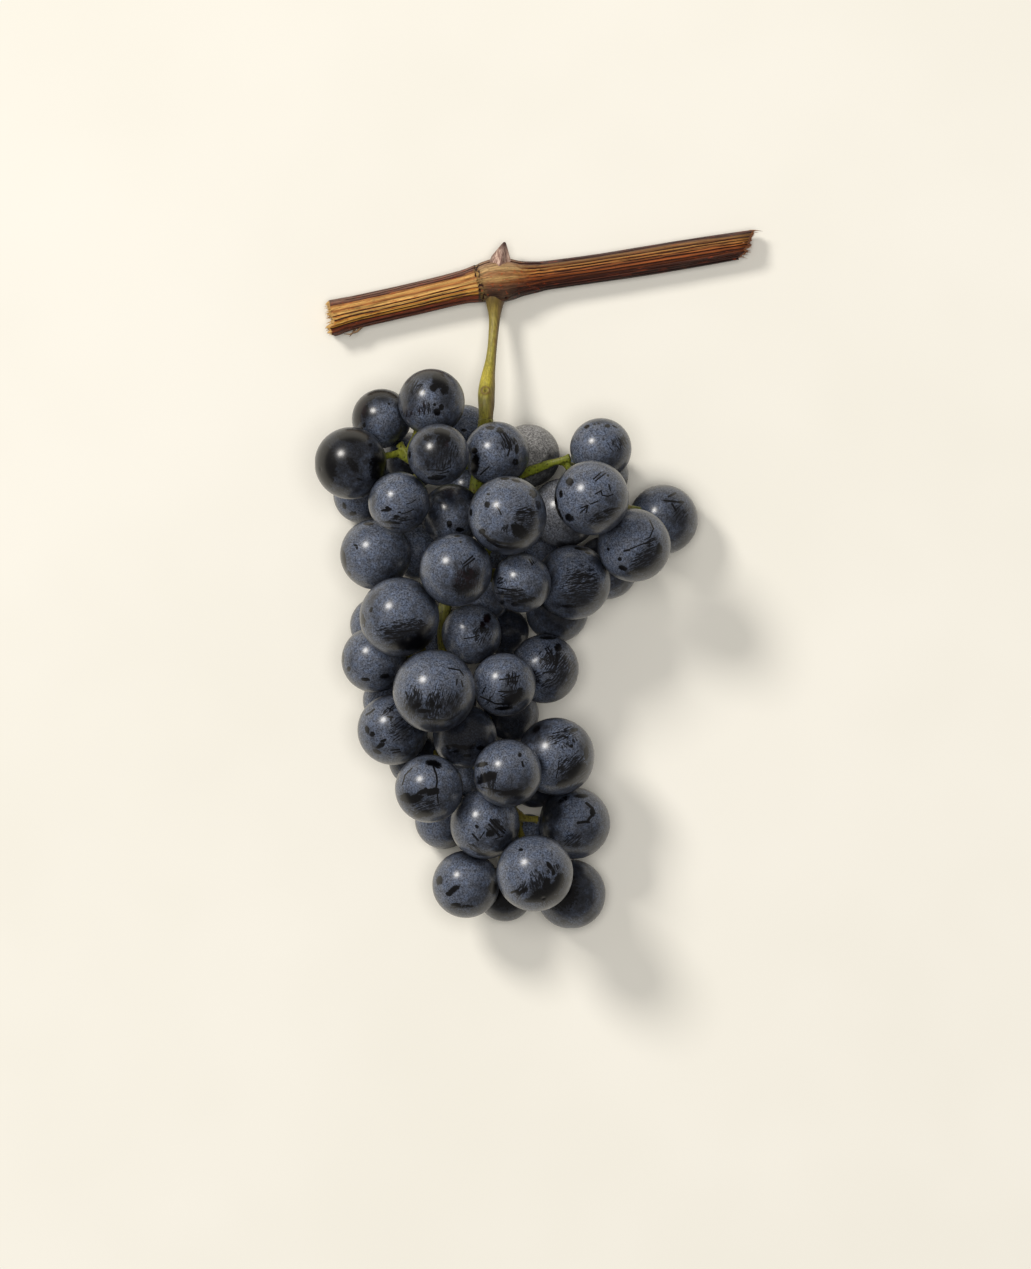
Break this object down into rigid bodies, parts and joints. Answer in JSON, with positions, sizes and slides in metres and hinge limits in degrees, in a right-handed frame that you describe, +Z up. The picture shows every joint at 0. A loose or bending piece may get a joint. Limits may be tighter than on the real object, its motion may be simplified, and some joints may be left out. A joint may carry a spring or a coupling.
{
  "type": "bunch of grapes",
  "caption": "Bunch of round blue-black table grapes with a waxy bloom on a branching green stalk, lying on its back, with the short piece of woody cane it was cut with.",
  "frame": {"origin": "on the surface that the bunch lies on, under the middle of the bounding box of the whole part", "axes": "+Z up, away from the surface; +Y along the bunch, from its tip to the cane; +X along the cane, to the right when the bunch is seen from above with the cane at the top"},
  "size_m": [0.112, 0.175, 0.0547],
  "materials": {
    "berry": "near-black violet skin under a slate-blue waxy bloom, rubbed off in dark patches and scratches, with a soft broad highlight",
    "stalk": "green to yellow-olive stem with fine dark warts, browner where it meets the cane",
    "cane": "dry one-year-old vine wood, ochre and maroon-brown stripes and fine lengthwise ridges, with torn ends"
  },
  "bodies": {
    "root": {"cane": "cane", "stalk": "stalk", "berry_01": "berry", "berry_02": "berry", "berry_03": "berry", "berry_04": "berry", "berry_05": "berry", "berry_06": "berry", "berry_07": "berry", "berry_08": "berry", "berry_09": "berry", "berry_10": "berry", "berry_11": "berry", "berry_12": "berry", "berry_13": "berry", "berry_14": "berry", "berry_15": "berry", "berry_16": "berry", "berry_17": "berry", "berry_18": "berry", "berry_19": "berry", "berry_20": "berry", "berry_21": "berry", "berry_22": "berry", "berry_23": "berry", "berry_24": "berry", "berry_25": "berry", "berry_26": "berry", "berry_27": "berry", "berry_28": "berry", "berry_29": "berry", "berry_30": "berry", "berry_31": "berry", "berry_32": "berry", "berry_33": "berry", "berry_34": "berry", "berry_35": "berry", "berry_36": "berry", "berry_37": "berry", "berry_38": "berry", "berry_39": "berry", "berry_40": "berry", "berry_41": "berry", "berry_42": "berry", "berry_43": "berry", "berry_44": "berry", "berry_45": "berry", "berry_46": "berry", "berry_47": "berry", "berry_48": "berry", "berry_49": "berry", "berry_50": "berry", "berry_51": "berry", "berry_52": "berry", "berry_53": "berry", "berry_54": "berry", "berry_55": "berry", "berry_56": "berry", "berry_57": "berry"}
  },
  "joints": []
}
